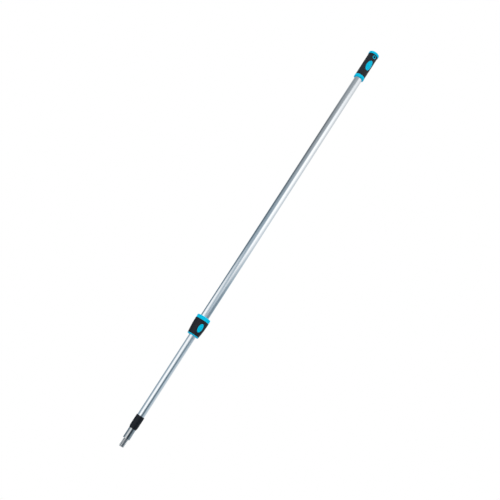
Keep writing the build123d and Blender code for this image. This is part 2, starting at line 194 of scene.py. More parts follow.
def arc_corner(before, here, after, fillet):
    """A corner rounded by an arc, with a guard station on each straight side of it."""
    back_in, back_out = (before - here).normalized(), (after - here).normalized()
    half = back_in.angle(back_out) / 2
    room = min((before - here).length, (after - here).length) * 0.49
    back = min(fillet / tan(half), room)
    radius = back * tan(half)
    start, end = here + back_in * back, here + back_out * back
    centre = here + (back_in + back_out).normalized() * radius / sin(half)
    guard = min(back * 1.5, (back + room) / 2)
    shares = [i / FILLET_STEPS for i in range(FILLET_STEPS + 1)]
    arc = [centre + (start.lerp(end, share) - centre).normalized() * radius for share in shares]
    return [here + back_in * guard, *arc, here + back_out * guard]


def rounded(corners, closed=True):
    """Stations along a profile from its corners, each (radius, height), some with a fillet."""
    stations = []
    for i, corner in enumerate(corners):
        here = Vector(corner[:2])
        at_end = not closed and i in (0, len(corners) - 1)
        if len(corner) == 2 or at_end:
            stations.append(here)
            continue
        before, after = Vector(corners[i - 1][:2]), Vector(corners[(i + 1) % len(corners)][:2])
        stations += arc_corner(before, here, after, corner[2])
    return [tuple(station) for station in stations]


def spaced(low, high, step):
    """Heights from low to high, both included, evenly spaced by about a step."""
    count = ceil(abs(high - low) / step)
    return [low + (high - low) * i / count for i in range(count + 1)]


def turned(name, stations, axis="Z", middle=0.0, tall=1.0, ends="joined", segments=128):
    """A ring carried from station to station, (radius, place along the axis).

    Along Y the ring stands upright round a middle height, and may be an oval, tall times as high
    as it is wide. Its ends are joined to each other, left open, or are rings small enough to merge.
    """
    along_y = axis == "Y"
    radius, place = stations[0]
    nothing_selected()
    bpy.ops.mesh.primitive_circle_add(
        vertices=segments,
        radius=radius,
        location=(0, place, 0) if along_y else (0, 0, place),
        rotation=(pi / 2, 0, 0) if along_y else (0, 0, 0),
    )
    piece = settled(bpy.context.object)
    bpy.ops.object.mode_set(mode="EDIT")
    bpy.ops.mesh.select_all(action="SELECT")
    bpy.ops.transform.resize(value=(1, 1, tall))
    for r, p in stations[1:] + (stations[:1] if ends == "joined" else []):
        shift = (0, p - place, 0) if along_y else (0, 0, p - place)
        grow = (r / radius, 1, r / radius) if along_y else (r / radius, r / radius, 1)
        bpy.ops.mesh.extrude_region_move(TRANSFORM_OT_translate={"value": shift})
        bpy.ops.transform.resize(value=grow)
        radius, place = r, p
    bpy.ops.mesh.select_all(action="SELECT")
    bpy.ops.mesh.remove_doubles(threshold=MERGE)
    bpy.ops.mesh.normals_make_consistent(inside=False)
    bpy.ops.transform.translate(value=(0, 0, middle))
    bpy.ops.object.mode_set(mode="OBJECT")
    return named(smooth(piece), name)


def rod(radius, length, height, axis="X", segments=48):
    """A plain bar through the pole's axis, for drilling."""
    nothing_selected()
    turn = {"X": (0, pi / 2, 0), "Y": (pi / 2, 0, 0)}[axis]
    bpy.ops.mesh.primitive_cylinder_add(
        vertices=segments, radius=radius, depth=length, location=(0, 0, height), rotation=turn
    )
    return settled(bpy.context.object)


def drilled(piece, radius, height, axis="X"):
    """Drills both walls of a piece across the pole."""
    return combine(piece, rod(radius, 4 * CAP_R, height, axis), "DIFFERENCE")


def helix_rod(root_r, crest_r, crest, flank_degrees, lead, length):
    """A rod with a trapezoid thread, standing on height 0 and run past both ends.

    Where it crosses +X, the middle of a crest is half a crest and one flank below height 0.
    """
    rise = crest_r - root_r
    flank = rise * tan(radians(flank_degrees))
    root = lead - crest - 2 * flank
    nothing_selected()
    bpy.ops.mesh.primitive_plane_add(size=MM, location=(root_r, 0, -2 * lead))
    piece = settled(bpy.context.object)
    bpy.ops.object.mode_set(mode="EDIT")
    bpy.ops.mesh.select_all(action="SELECT")
    bpy.ops.mesh.merge(type="CENTER")
    for shift in ((0, 0, root), (rise, 0, flank), (0, 0, crest), (-rise, 0, flank)):
        bpy.ops.mesh.extrude_region_move(TRANSFORM_OT_translate={"value": shift})
    bpy.ops.object.mode_set(mode="OBJECT")
    sweep = {"angle": 2 * pi, "screw_offset": lead, "iterations": ceil(length / lead) + 4}
    steps = {"steps": SCREW_STEPS, "render_steps": SCREW_STEPS}
    apply(piece, "SCREW", axis="Z", use_normal_calculate=True, **steps, **sweep)
    bpy.ops.object.mode_set(mode="EDIT")
    bpy.ops.mesh.select_all(action="SELECT")
    bpy.ops.mesh.remove_doubles(threshold=THREAD_MERGE)
    for height, below in ((-lead / 2, True), (length + lead / 2, False)):
        bpy.ops.mesh.select_all(action="SELECT")
        plane = {"plane_co": (0, 0, height), "plane_no": (0, 0, 1)}
        bpy.ops.mesh.bisect(use_fill=True, clear_inner=below, clear_outer=not below, **plane)
    bpy.ops.mesh.select_all(action="SELECT")
    bpy.ops.mesh.normals_make_consistent(inside=False)
    bpy.ops.object.mode_set(mode="OBJECT")
    return piece


def lay_round(piece, crown, radius_at):
    """Bends a piece that was made flat, crown from the axis, on to the pole's round side."""
    for v in piece.data.vertices:
        drop = crown - sqrt(radius_at(v.co.z) ** 2 - v.co.x**2)
        v.co.y -= copysign(drop, v.co.y)
    return piece


def done(piece, body, slot, finish, *nodes):
    """Dresses a finished piece, hangs it on the body it rides on, and hides the nodes it stands for."""
    piece.data.materials.clear()
    piece.data.materials.append(finish)
    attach(piece, body)
    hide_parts(*nodes)
    return piece


# ---------------------------------------------------------------- shader helpers


class Flow:
    """A shader socket that can stand in a sum; each sign adds its Math node."""

    def __init__(self, graph, socket):
        self.graph = graph
        self.socket = socket

    def __add__(self, other):
        return self.graph.math("ADD", self, other)

    def __sub__(self, other):
        return self.graph.math("SUBTRACT", self, other)

    def __rsub__(self, other):
        return self.graph.math("SUBTRACT", other, self)

    def __mul__(self, other):
        return self.graph.math("MULTIPLY", self, other)

    __radd__ = __add__
    __rmul__ = __mul__


class Graph:
    """The nodes of one material, or of the world."""

    def __init__(self, tree):
        self.tree = tree
        tree.nodes.clear()

    def node(self, kind, settings=None, sockets=None, output=0):
        """One node: its settings first, then its sockets' values or links. Gives one output."""
        node = self.tree.nodes.new(kind)
        for key, value in (settings or {}).items():
            if key == "stops":
                self.set_stops(node.color_ramp, value)
            else:
                setattr(node, key, value)
        for key, value in (sockets or {}).items():
            if isinstance(value, Flow):
                self.tree.links.new(value.socket, node.inputs[key])
            else:
                node.inputs[key].default_value = value
        return Flow(self, node.outputs[output]) if len(node.outputs) else None

    @staticmethod
    def set_stops(ramp, stops):
        while len(ramp.elements) < len(stops):
            ramp.elements.new(1.0)
        for element, (place, colour) in zip(ramp.elements, stops):
            element.position = place
            element.color = (*colour, 1)

    def math(self, operation, *values):
        return self.node("ShaderNodeMath", {"operation": operation}, dict(enumerate(values)))

    def dot(self, vector, direction):
        settings = {"operation": "DOT_PRODUCT"}
        return self.node("ShaderNodeVectorMath", settings, {0: vector, 1: direction}, output=1)

    def ramp(self, share, *stops):
        return self.node("ShaderNodeValToRGB", {"stops": stops}, {"Fac": share})

    def step(self, value, low, high):
        """0 below low, 1 above high, and smooth between them."""
        sockets = {"Value": value, "From Min": low, "From Max": high}
        return self.node("ShaderNodeMapRange", {"interpolation_type": "SMOOTHSTEP"}, sockets)

    def mix(self, share, first, second):
        """Two colours mixed by a share."""
        sockets = {0: share, 6: first, 7: second}
        return self.node("ShaderNodeMix", {"data_type": "RGBA"}, sockets, output=2)

    def place(self, stretch=(1, 1, 1)):
        """The point on the piece, with its axes stretched."""
        point = self.node("ShaderNodeTexCoord", output=3)
        return self.node("ShaderNodeMapping", {}, {"Vector": point, "Scale": stretch})

    def noise(self, scale, detail=3.0, roughness=0.5, stretch=(1, 1, 1)):
        sockets = {
            "Vector": self.place(stretch),
            "Scale": scale,
            "Detail": detail,
            "Roughness": roughness,
        }
        return self.node("ShaderNodeTexNoise", {}, sockets)

    def distance(self, across):
        """How far the point lies from an axis; across is 1 along each axis that counts."""
        return self.node(
            "ShaderNodeVectorMath", {"operation": "LENGTH"}, {0: self.place(across)}, output=1
        )

    def bump(self, height, distance, strength):
        sockets = {"Height": height, "Distance": distance, "Strength": strength}
        return self.node("ShaderNodeBump", {}, sockets)

    def surface(self, **sockets):
        """The principled shader, its sockets named with underscores for spaces."""
        sockets = {key.replace("_", " "): value for key, value in sockets.items()}
        shader = self.node("ShaderNodeBsdfPrincipled", {}, sockets)
        self.node("ShaderNodeOutputMaterial", {}, {"Surface": shader})


def finish(name):
    """A new material and the graph of its nodes."""
    made = bpy.data.materials.new(name)
    made.use_nodes = True
    return made, Graph(made.node_tree)


# ---------------------------------------------------------------- finishes

BLUE_TONES = ((0.0, 0.57, 0.82), (0.0, 0.64, 0.91))
BLUE_GLOSS = 0.07
# painted shade: a near-black blue for down in the eyelet's bore
BORE_SHADE_BLUE = (0.0, 0.02, 0.03, 1)
# a darker steel tone, laid near a thread's root
ROOT_DARK_STEEL = (0.36, 0.36, 0.37, 1)
STIPPLE = 0.65 * MM  # from one of the rubber's points to the next


def drawn_aluminium(name, scuffs):
    """Satin drawn tube: long die lines, faint cloudiness, and dull rubs from sliding."""
    made, g = finish(name)
    lines = g.noise(2600, detail=2, stretch=(1, 1, 0.004))
    bands = g.noise(500, stretch=(1, 1, 0.01))
    clouds = g.noise(60, detail=4, stretch=(1, 1, 0.25))
    rubs = g.step(g.noise(900, detail=5, roughness=0.7, stretch=(1, 1, 0.05)), 0.60, 0.74)
    tone = bands * 0.5 + clouds * 0.5
    colour = g.ramp(tone, (0.3, (0.84, 0.86, 0.885)), (0.7, (0.92, 0.93, 0.95)))
    rough = lines * 0.05 + clouds * 0.05 + rubs * scuffs + 0.08
    normal = g.bump(lines + bands * 0.6, 0.006 * MM, 0.5)
    g.surface(Base_Color=colour, Metallic=1.0, Roughness=rough, Normal=normal)
    return made


def moulded(name, tones, rough_base, grain_size, grain_depth, specular=0.5):
    """Moulded plastic: an uneven tone along the flow, and the mould's fine grain."""
    made, g = finish(name)
    flow = g.noise(45, detail=4, stretch=(1, 1, 0.35))
    grain = g.noise(1 / grain_size, detail=3)
    colour = g.ramp(flow, (0.3, tones[0]), (0.7, tones[1]))
    rough = flow * 0.12 + grain * 0.06 + rough_base
    normal = g.bump(grain, grain_depth, 0.5)
    g.surface(Base_Color=colour, Roughness=rough, Normal=normal, Specular_IOR_Level=specular)
    return made


def eyelet_plastic():
    """The handle's blue plastic, with painted shade darkening it down in the eyelet's bore."""
    made, g = finish("eyelet_plastic")
    flow = g.noise(45, detail=4)
    wear_and_shade_edge = g.noise(700, detail=4)
    # painted shade: the bore's wall and the rim of its mouths darkened, the edge broken up by a noise that also
    # varies the roughness
    out = g.distance((1, 0, 1)) + wear_and_shade_edge * (0.6 * MM)
    away_from_dark = g.step(out, EYELET_BORE + 0.2 * MM, EYELET_BORE + 1.2 * MM)
    blue = g.ramp(flow, (0.3, BLUE_TONES[0]), (0.7, BLUE_TONES[1]))
    colour = g.mix(away_from_dark, BORE_SHADE_BLUE, blue)
    g.surface(Base_Color=colour, Roughness=wear_and_shade_edge * 0.2 + 0.25, Specular_IOR_Level=BLUE_GLOSS)
    return made


def grip_rubber():
    """Soft black rubber with a fine moulded stipple and a dusty bloom."""
    made, g = finish("grip_rubber_stippled")
    sockets = {"Vector": g.place(), "Scale": 1 / STIPPLE, "Randomness": 0.85}
    stipple = g.node("ShaderNodeTexVoronoi", {"feature": "F1"}, sockets)
    grain = g.noise(5200, detail=2)
    bloom = g.noise(70, detail=4, roughness=0.6)
    colour = g.ramp(bloom, (0.3, (0.0045, 0.005, 0.0095)), (0.75, (0.010, 0.011, 0.0185)))
    rough = bloom * 0.16 + stipple * 0.1 + 0.40
    normal = g.bump(grain * 0.3 - stipple, 0.09 * MM, 0.6)
    g.surface(Base_Color=colour, Roughness=rough, Normal=normal, Specular_IOR_Level=0.3)
    return made


def turned_steel(name, tones, rough_base, root=0.0, crest=0.0):
    """Metal with the lathe's fine rings and a haze from handling.

    A thread on it, from its root's radius to its crest's, is duller, and darker near the root.
    """
    made, g = finish(name)
    rings = g.noise(5000, detail=2, stretch=(0.02, 0.02, 1))
    haze = g.noise(160, detail=5, roughness=0.6)
    radius = g.distance((1, 1, 0))
    # darker steel within about 1.4 mm of the thread's root radius
    away_from_dark = g.step(radius, root, root + 1.4 * MM)
    plain = g.step(radius, crest, crest + 0.5 * MM)
    colour = g.mix(away_from_dark, ROOT_DARK_STEEL, g.ramp(haze, (0.3, tones[0]), (0.7, tones[1])))
    rough = rings * 0.05 + haze * 0.08 + (1.0 - plain) * 0.16 + rough_base
    normal = g.bump(rings, 0.006 * MM, 0.4)
    g.surface(Base_Color=colour, Metallic=1.0, Roughness=rough, Normal=normal)
    return made


OUTER_METAL = drawn_aluminium("outer_tube_aluminium", 0.05)
INNER_METAL = drawn_aluminium("inner_tube_aluminium", 0.12)
BLUE = moulded("blue_plastic", BLUE_TONES, 0.24, 1.1 * MM, 0.03 * MM, BLUE_GLOSS)
EYELET_BLUE = eyelet_plastic()
RUBBER = grip_rubber()
BLACK_TONES = ((0.005, 0.006, 0.010), (0.011, 0.012, 0.017))
BLACK = moulded("black_nylon", BLACK_TONES, 0.3, 0.35 * MM, 0.04 * MM, 0.2)
GREY_TONES = ((0.36, 0.37, 0.38), (0.46, 0.47, 0.48))
GREY = moulded("grey_nylon", GREY_TONES, 0.38, 0.4 * MM, 0.03 * MM)
WHITE_TONES = ((0.78, 0.78, 0.75), (0.88, 0.88, 0.86))
WHITE = moulded("white_acetal", WHITE_TONES, 0.28, 0.6 * MM, 0.02 * MM)
PLATE_TONES = ((0.46, 0.47, 0.485), (0.58, 0.585, 0.59))
PLATE = turned_steel("plated_steel", PLATE_TONES, 0.02, THREAD_ROOT_R, THREAD_R)
STEEL_TONES = ((0.44, 0.45, 0.46), (0.58, 0.58, 0.59))
STEEL = turned_steel("plain_steel", STEEL_TONES, 0.22)

NODE_FINISHES = {
    "tube_aluminium": OUTER_METAL,
    "blue_plastic": BLUE,
    "black_rubber": RUBBER,
    "black_nylon": BLACK,
    "grey_nylon": GREY,
    "white_acetal": WHITE,
    "plated_steel": PLATE,
    "plain_steel": STEEL,
}


def dress_nodes():
    """Gives each CAD node the finish of its slot."""
    for part in frame["record"]["subparts"]:
        for slot in frame["nodes"][part["node"]].material_slots:
            slot.material = NODE_FINISHES[part["material_slot"]]


# ---------------------------------------------------------------- tubes


def tube_stations(radius, low, high, guards):
    """A tube's profile, its cut ends broken, with rows of its wall where it will be drilled."""
    bore = radius - TUBE_WALL
    broken = 0.25 * MM
    inside = [(bore, height) for height in sorted(guards)]
    outside = [(radius, height) for height in sorted(guards, reverse=True)]
    ends_low = [(radius, low, broken), (bore, low, broken)]
    ends_high = [(bore, high, broken), (radius, high, broken)]
    return rounded(ends_low + inside + ends_high + outside)


def guards_round(heights, margin):
    return [height + side for height in heights for side in (-margin, margin)]



def outer_tube():
    heights = [middle_of("handle_rivets"), middle_of("collet_rivets")]
    stations = tube_stations(TUBE_R, TUBE_LOW, TUBE_TOP, guards_round(heights, RIVET_MARGIN))
    piece = turned("outer_tube_drawn", stations, segments=160)
    for height in heights:
        drilled(piece, RIVET_R, height)
    done(smooth(piece), "outer_section", "tube_aluminium", OUTER_METAL, "outer_tube")


def inner_tube():
    """The smaller tube, with the clip's groove, the stop bush's rivet holes and the tip pin's."""
    clip_low, clip_high = reach("guide_clip")[1:]
    heights = [middle_of("stop_rivets"), middle_of("tip_pin")]
    stations = tube_stations(INNER_R, INNER_LOW, INNER_TOP, guards_round(heights, PIN_MARGIN))
    piece = turned("inner_tube_drawn", stations, segments=144)
    groove_r = INNER_R - CLIP_GROOVE_DEPTH
    clear_r = INNER_R + 1 * MM
    groove = [
        (clear_r, clip_low - GLUE_GAP),
        (clear_r, clip_high + GLUE_GAP),
        (groove_r, clip_high + GLUE_GAP),
        (groove_r, clip_low - GLUE_GAP),
    ]
    combine(piece, turned("clip_groove", groove, segments=144), "DIFFERENCE")
    drilled(piece, RIVET_R, heights[0])
    drilled(piece, PIN_HOLE_R, heights[1])
    done(smooth(piece), "inner_section", "tube_aluminium", INNER_METAL, "inner_tube")


# ---------------------------------------------------------------- grips

CELL = 0.8 * MM  # of a grip's skin, so that a window's edge comes out even
HANDLE_SEGMENTS = 160
BARREL_SEGMENTS = 208
GRIP_LIP = 0.35 * MM  # by which the rubber's edges are rounded


def outside_oval(across, up, half_width, half_height):
    """How far a point lies outside an upright oval, and the unit direction straight out of it."""
    level = hypot(across / half_width, up / half_height)
    slope = Vector((across / half_width**2, up / half_height**2))
    return (level - 1) * level / slope.length, slope.normalized()


def oval_window(piece, front, radius_at, half_width, half_height, middle):
    """Opens an upright oval in a grip's skin: its edge cells are drawn on to the oval first."""
    edge = []
    for v in piece.data.vertices:
        if v.co.y * front < 0:
            continue
        gap, out = outside_oval(v.co.x, v.co.z - middle, half_width, half_height)
        if abs(gap) > CELL / 2:
            continue
        x, z = v.co.x - gap * out.x, v.co.z - gap * out.y
        v.co = (x, front * sqrt(radius_at(z) ** 2 - x * x), z)
        edge.append(v.index)
    only(piece)
    bpy.ops.object.mode_set(mode="EDIT")
    bpy.ops.mesh.select_all(action="DESELECT")
    bpy.ops.object.mode_set(mode="OBJECT")
    for index in edge:
        piece.data.vertices[index].select = True
    bpy.ops.object.mode_set(mode="EDIT")
    bpy.ops.mesh.select_mode(type="VERT")
    bpy.ops.mesh.vert_connect()
    bpy.ops.mesh.select_all(action="DESELECT")
    bpy.ops.mesh.select_mode(type="FACE")
    bpy.ops.object.mode_set(mode="OBJECT")
    inside = 0.02 * MM
    for face in piece.data.polygons:
        corners = [piece.data.vertices[i].co for i in face.vertices]
        gaps = [outside_oval(c.x, c.z - middle, half_width, half_height)[0] for c in corners]
        face.select = corners[0].y * front > 0 and max(gaps) < inside
    bpy.ops.object.mode_set(mode="EDIT")
    bpy.ops.mesh.delete(type="FACE")
    bpy.ops.mesh.select_mode(type="VERT")
    bpy.ops.object.mode_set(mode="OBJECT")


def skin_to_rubber(piece, wall):
    """Gives a grip's skin its wall, inwards, and rounds every edge of it."""
    apply(piece, "SOLIDIFY", thickness=wall, offset=-1, use_even_offset=True, use_rim=True)
    sharp = {"limit_method": "ANGLE", "angle_limit": radians(50)}
    apply(piece, "BEVEL", width=GRIP_LIP, segments=3, **sharp)
    return smooth(piece)


def handle_grip():
    """The sleeve of soft rubber, with the badge's window and a hole each side for the eyelet."""
    stations = [(GRIP_R, z) for z in spaced(GRIP_LOW, GRIP_TOP, CELL)]
    piece = turned("handle_grip_rubber", stations, ends="open", segments=HANDLE_SEGMENTS)
    half_width, half_height, middle = oval_of("handle_badge")[:3]
    gap = BADGE_GAP
    oval_window(piece, -1, lambda z: GRIP_R, half_width + gap, half_height + gap, middle)
    hole = EYELET_R + 2 * GLUE_GAP
    for side in (-1, 1):
        oval_window(piece, side, lambda z: GRIP_R, hole, hole, 0.0)
    skin_to_rubber(piece, GRIP_WALL - GLUE_GAP)
    done(piece, "outer_section", "black_rubber", RUBBER, "handle_grip")


BELLY_DROP = 1.05 * MM  # radius lost half way down the collar
FOOT_DROP = 4.4 * MM  # radius lost at its lower edge


def side_arc():
    """The middle and radius of the arc that the collar's side follows, in radius and height."""
    top = Vector((BARREL_R, BARREL_TOP))
    belly = Vector((BARREL_R - BELLY_DROP, (BARREL_TOP + BARREL_LOW) / 2))
    foot = Vector((BARREL_R - FOOT_DROP, BARREL_LOW))
    first, second = belly - top, foot - top
    cross = 2 * (first.x * second.y - first.y * second.x)
    squares = first.length_squared, second.length_squared
    shift = Vector(
        (
            (second.y * squares[0] - first.y * squares[1]) / cross,
            (first.x * squares[1] - second.x * squares[0]) / cross,
        )
    )
    return top + shift, shift.length


ARC_MIDDLE, ARC_R = side_arc()


def barrel_radius(height):
    """The collar's outside radius at a height on its grip."""
    return ARC_MIDDLE.x + sqrt(ARC_R**2 - (height - ARC_MIDDLE.y) ** 2)


def lock_grip():
    """The rubber over the collar's barrel, with its badge's window."""
    heights = spaced(BARREL_LOW, BARREL_TOP, CELL)
    stations = [(barrel_radius(z), z) for z in heights]
    piece = turned("lock_grip_rubber", stations, ends="open", segments=BARREL_SEGMENTS)
    half_width, half_height, middle = oval_of("lock_badge")[:3]
    oval_window(piece, -1, barrel_radius, half_width + BADGE_GAP, half_height + BADGE_GAP, middle)
    skin_to_rubber(piece, BARREL_WALL - GLUE_GAP)
    done(piece, "twist_collar", "black_rubber", RUBBER, "lock_grip")


# ---------------------------------------------------------------- badges


def badge_stations(half_width, thickness):
    """A badge from the middle of its back to the middle of its face, as (half width, depth)."""
    edge = 0.5 * MM
    rim = 1.9 * MM
    sunk = 0.35 * MM
    dome = 0.22 * MM
    dome_share = 0.62  # of the half width
    back = [(half_width * share, thickness) for share in (0.25, 0.5, 0.75)]
    outline = [
        (half_width, thickness),
        (half_width, 0, edge),
        (half_width - rim, 0, 0.2 * MM),
        (half_width - rim - sunk, sunk, 0.2 * MM),
        (half_width * dome_share, sunk),
    ]
    domed = []
    for share in (0.45, 0.3, 0.15):
        domed.append((half_width * share, sunk - dome * cos(share / dome_share * pi / 2)))
    face = rounded([back[-1], *outline], closed=False)[1:]
    return [(POLE, thickness), *back, *face, *domed, (POLE, sunk - dome)]


def badge(name, node, body, radius_at, wall):
    """An oval inlay: a raised rim round a plain, slightly domed field, bent to the grip."""
    half_width, half_height, middle, crown = oval_of(node)
    thickness = wall - 2 * GLUE_GAP
    stations = [(r, depth - crown) for r, depth in badge_stations(half_width, thickness)]
    tall = half_height / half_width
    piece = turned(name, stations, axis="Y", middle=middle, tall=tall, ends="merged", segments=96)
    lay_round(piece, crown, radius_at)
    done(smooth(piece), body, "blue_plastic", BLUE, node)


def badges():
    """Both inlays, each standing a little proud of its grip."""
    handle_crown = oval_of("handle_badge")[3]
    proud = handle_crown - GRIP_R
    badge(
        "handle_badge_oval",
        "handle_badge",
        "outer_section",
        lambda z: handle_crown,
        GRIP_WALL + proud,
    )
    badge(
        "lock_badge_oval",
        "lock_badge",
        "twist_collar",
        lambda z: barrel_radius(z) + proud,
        BARREL_WALL + proud,
    )


# ---------------------------------------------------------------- handle


def handle_core():
    """The blue sleeve under the grip: lower ring, shelf over the tube's end, and open head."""
    bore = TUBE_R + GLUE_GAP
    shelf_r = TUBE_R - TUBE_WALL - 1.5 * MM
    shelf_top = TUBE_TOP + 3 * MM
    head_bore = CORE_R - 2.85 * MM
    ring_top = GRIP_LOW - GLUE_GAP
    ring_edge = 2.0 * MM
    corners = [
        (bore, HANDLE_LOW, 0.3 * MM),
        (HANDLE_R, HANDLE_LOW, ring_edge),
        (HANDLE_R, ring_top, 0.45 * MM),
        (CORE_R, ring_top),
        (CORE_R, HEAD_TOP),
        (head_bore, HEAD_TOP),
        (head_bore, shelf_top),
        (shelf_r, shelf_top),
        (shelf_r, TUBE_TOP),
        (bore, TUBE_TOP),
    ]
    piece = turned("handle_core_blue", rounded(corners), segments=160)
    drilled(piece, RIVET_R, middle_of("handle_rivets"))
    drilled(piece, EYELET_R + GLUE_GAP, 0.0, axis="Y")
    done(smooth(piece), "outer_section", "blue_plastic", BLUE, "handle_core")


def handle_cap():
    """The blue cup over the handle's open head."""
    fit = CORE_R + GLUE_GAP
    roof = HEAD_TOP + GLUE_GAP
    rim_edge = 1.36 * MM
    top_edge = 2.3 * MM
    corners = [
        (POLE, roof),
        (fit, roof),
        (fit, CAP_LOW),
        (CAP_R, CAP_LOW, rim_edge),
        (CAP_R, CAP_TOP, top_edge),
        (CAP_R * 0.4, CAP_TOP),
        (POLE, CAP_TOP),
    ]
    piece = turned("handle_cap_blue", rounded(corners, closed=False), ends="merged", segments=160)
    done(piece, "outer_section", "blue_plastic", BLUE, "handle_cap")


def hanging_eyelet():
    """The bush through the handle; its mouths are flared and follow the grip's roundness."""
    face = EYELET_FACE
    flare = 0.4 * MM
    corners = [
        (EYELET_BORE, face, flare),
        (EYELET_R, face, flare),
        (EYELET_R, -face, flare),
        (EYELET_BORE, -face, flare),
    ]
    piece = turned("hanging_eyelet_blue", rounded(corners), axis="Y", segments=96)
    lay_round(piece, face, lambda z: face)
    done(smooth(piece), "outer_section", "blue_plastic", EYELET_BLUE, "hanging_eyelet")


# ---------------------------------------------------------------- twist collar


def tooth_vertices():
    """Points on the crest of the collet body's outside thread, as (height, angle)."""
    points = []
    for v in frame["nodes"]["collet_body"].data.vertices:
        if abs(hypot(v.co.x, v.co.y) - (FLANGE_R - NUT_GAP)) < 0.02 * MM:
            points.append((v.co.z, atan2(v.co.y, v.co.x)))
    return points


def nut_groove():
    """The groove that runs on the collet body's thread, in step with it, and longer each way."""
    points = tooth_vertices()
    turn = 2 * pi / NUT_LEAD
    phases = [height * turn - angle for height, angle in points]
    phase = atan2(sum(sin(p) for p in phases), sum(cos(p) for p in phases)) / turn
    root_r = CONE_R - NUT_BORE_GAP
    flank = (FLANGE_R - root_r) * tan(radians(NUT_FLANK))
    first = min(height for height, angle in points) - NUT_LEAD
    base = phase + flank + NUT_CREST / 2
    base += round((first - base) / NUT_LEAD) * NUT_LEAD
    length = NUT_TURNS * NUT_LEAD
    groove = helix_rod(root_r, FLANGE_R, NUT_CREST, NUT_FLANK, NUT_LEAD, length)
    groove.location.z = base
    return settled(groove)


def lock_core():
    """The collar's blue body: upper ring, threaded barrel under the rubber, and lower lip."""
    ring_r = BARREL_R - 0.25 * MM
    lip_r = BARREL_R - FOOT_DROP
    counterbore = FLANGE_R + NUT_GAP
    bore = CONE_R + NUT_BORE_GAP
    floor_top = CONE_LOW - GLUE_GAP
    wiper_seat = WIPER_R + GLUE_GAP
    mouth = INNER_R + 1 * MM
    ring_edge = 2.0 * MM
    lip_edge = 1.92 * MM
    barrel = [(barrel_radius(z) - BARREL_WALL, z) for z in spaced(BARREL_TOP, BARREL_LOW, 4 * MM)]
    corners = [
        (counterbore, COLLAR_TOP, 0.5 * MM),
        (ring_r, COLLAR_TOP, ring_edge),
        (ring_r, BARREL_TOP, 0.2 * MM),
        *barrel,
        (lip_r, BARREL_LOW, 0.2 * MM),
        (lip_r, COLLAR_LOW, lip_edge),
        (mouth, COLLAR_LOW, 0.4 * MM),
        (mouth, WIPER_LOW),
        (wiper_seat, WIPER_LOW),
        (wiper_seat, floor_top),
        (bore, floor_top),
        (bore, BARREL_TOP),
        (counterbore, BARREL_TOP),
    ]
    piece = turned("lock_core_blue", rounded(corners), segments=176)
    combine(piece, nut_groove(), "DIFFERENCE")
    done(smooth(piece), "twist_collar", "blue_plastic", BLUE, "lock_core")


def wiper_ring():
    """The soft ring in the collar's mouth, with a thin lip that bears on the inner tube."""
    lip = INNER_R + RUNNING_GAP
    corners = [
        (lip, WIPER_LOW, 0.2 * MM),
        (WIPER_R, WIPER_LOW, 0.3 * MM),
        (WIPER_R, WIPER_TOP, 0.3 * MM),
        (lip + 0.8 * MM, WIPER_TOP, 0.3 * MM),
        (lip, WIPER_LOW + 1.2 * MM, 0.2 * MM),
    ]
    piece = turned("wiper_ring_rubber", rounded(corners), segments=144)
    done(piece, "twist_collar", "black_rubber", RUBBER, "wiper_ring")


# ---------------------------------------------------------------- tip


def tip_sleeve():
    """The plain black sleeve over the inner tube's end, closing down on the ferrule."""
    bore = INNER_R + GLUE_GAP
    end_bore = FERRULE_OUT_R + GLUE_GAP
    corners = [
        (bore, SLEEVE_TOP),
        (SLEEVE_R, SLEEVE_TOP, 0.68 * MM),
        (SLEEVE_R, INNER_LOW, 1.2 * MM),
        (FERRULE_OUT_R + 0.6 * MM, SLEEVE_LOW, 0.25 * MM),
        (end_bore, SLEEVE_LOW),
        (end_bore, INNER_LOW),
        (bore, INNER_LOW),
    ]
    piece = turned("tip_sleeve_black", rounded(corners), segments=144)
    done(piece, "inner_section", "black_nylon", BLACK, "tip_sleeve")


def threaded_tip():
    """Plated ferrule with its roller thread, relieved at the shoulder and chamfered at the nose.

    It is made standing on its nose at height 0, and then let down to its place.
    """
    shoulder = SHOULDER - NOSE
    tube_end = INNER_LOW - NOSE
    wide = THREAD_R + THREAD_MARGIN
    neck = THREAD_ROOT_R - 0.01 * MM
    envelope = [
        (POLE, 0),
        (THREAD_ROOT_R, 0),
        (wide, NOSE_CHAMFER),
        (wide, shoulder - RELIEF),
        (neck, shoulder - RELIEF),
        (neck, shoulder + PITCH / 4),
        (POLE, shoulder + PITCH / 4),
    ]
    piece = helix_rod(THREAD_ROOT_R, THREAD_R, THREAD_CREST, THREAD_FLANK, PITCH, shoulder)
    combine(piece, turned("envelope", envelope, ends="merged", segments=144), "INTERSECT")
    shank = INNER_R - TUBE_WALL - GLUE_GAP
    shank_top = SHANK_TOP - NOSE
    shank_bore = shank - SHANK_WALL
    bore_end = shoulder + SHANK_WALL
    ferrule = [
        (POLE, shoulder),
        (FERRULE_OUT_R, shoulder, 1.2 * MM),
        (FERRULE_OUT_R, tube_end),
        (shank, tube_end),
        (shank, shank_top, 0.4 * MM),
        (shank_bore, shank_top),
        (shank_bore, bore_end),
        (POLE, bore_end),
    ]
    body = turned("ferrule", rounded(ferrule, closed=False), ends="merged", segments=144)
    combine(piece, body, "UNION")
    drilled(piece, PIN_HOLE_R, middle_of("tip_pin") - NOSE)
    piece.location.z = NOSE
    settled(piece)
    smooth(named(piece, "threaded_tip_plated"))
    done(piece, "inner_section", "plated_steel", PLATE, "threaded_tip")


# ---------------------------------------------------------------- studio

CAMERA_AZIMUTH = radians(21.8)
CAMERA_RISE = radians(-13.3)
CAMERA_LEAN = radians(32.845)
CAMERA_DISTANCE = 2.96
CAMERA_LENS = 57.6
CAMERA_SENSOR = 36
CAMERA_SHIFT = (0.0020, -0.0036)
AIM = Vector((0, 0, -0.9212))
CEILING = 2.6
FLOOR_R = 0.7
FLOOR_GAP = 30 * MM
FRONT = Vector((-sin(CAMERA_AZIMUTH), -cos(CAMERA_AZIMUTH), 0))
RIGHT = Vector((cos(CAMERA_AZIMUTH), -sin(CAMERA_AZIMUTH), 0))


